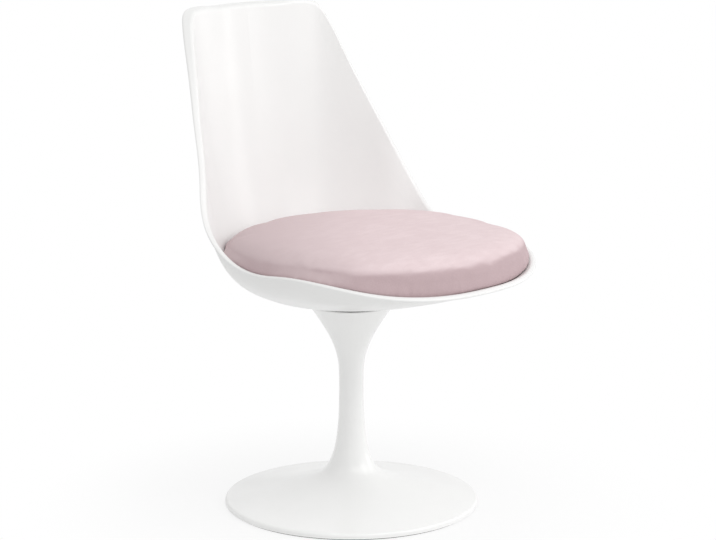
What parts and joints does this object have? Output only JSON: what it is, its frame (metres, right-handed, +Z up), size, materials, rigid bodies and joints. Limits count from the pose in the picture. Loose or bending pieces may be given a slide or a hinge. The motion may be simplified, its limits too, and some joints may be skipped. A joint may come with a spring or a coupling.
{
  "type": "swivelling pedestal side chair",
  "caption": "Armless side chair with a moulded white shell that swivels on a trumpet-shaped pedestal, and a lift-off fabric seat cushion.",
  "frame": {"origin": "on the floor, on the swivel axis at the centre of the round base", "axes": "+Z up along the swivel axis, -Y the way the sitter faces, +X to the sitter's left"},
  "size_m": [0.4974, 0.5486, 0.8062],
  "materials": {
    "pedestal_enamel": "cast aluminium with a white satin coating",
    "shell_gloss": "moulded glass-reinforced plastic with a white gloss face",
    "cushion_suede": "dusty pink suede cloth with a soft nap",
    "foam": "open-cell upholstery foam",
    "plywood": "birch plywood, sanded",
    "hook_tape": "woven hook and loop tape",
    "turned_steel": "turned steel",
    "polished_steel": "polished bearing steel",
    "spring_steel": "oiled spring steel",
    "zinc_steel": "zinc-plated steel",
    "plate_paint": "steel plate, black paint",
    "cage_brass": "machined brass",
    "bush_plastic": "acetal, turned",
    "glide_plastic": "moulded polythene, matt"
  },
  "bodies": {
    "pedestal": {"pedestal_casting": "pedestal_enamel", "base_glide": "glide_plastic", "bearing_tube": "turned_steel", "upper_bush": "bush_plastic", "lower_bush": "bush_plastic", "lower_race": "turned_steel"},
    "bearing": {"ball_cage": "cage_brass", "bearing_balls": "polished_steel"},
    "seat": {"seat_shell": "shell_gloss", "spindle": "turned_steel", "upper_race": "turned_steel", "end_washer": "turned_steel", "retaining_ring": "spring_steel", "mounting_plate": "plate_paint", "plain_washers": "zinc_steel", "spring_washers": "spring_steel", "plate_screws": "zinc_steel", "shell_inserts": "cage_brass", "hook_pads": "hook_tape"},
    "cushion": {"cushion_cover": "cushion_suede", "cushion_foam": "foam", "cushion_board": "plywood", "cover_staples": "zinc_steel", "loop_pads": "hook_tape"}
  },
  "joints": [
    {"name": "seat_swivel", "type": "hinge", "parent": "pedestal", "child": "seat", "pos_m": [0, 0, 0.3], "axis": [0, 0, 1], "continuous": true},
    {"name": "bearing_turn", "type": "hinge", "parent": "pedestal", "child": "bearing", "pos_m": [0, 0, 0.3], "axis": [0, 0, 1], "continuous": true},
    {"name": "cushion_lift", "type": "slide", "parent": "seat", "child": "cushion", "axis": [0, -0.5, 0.866], "range_m": [0, 0.35]}
  ],
  "couplings": [
    {"joint": "bearing_turn", "follows": "seat_swivel", "ratio": 0.5}
  ]
}
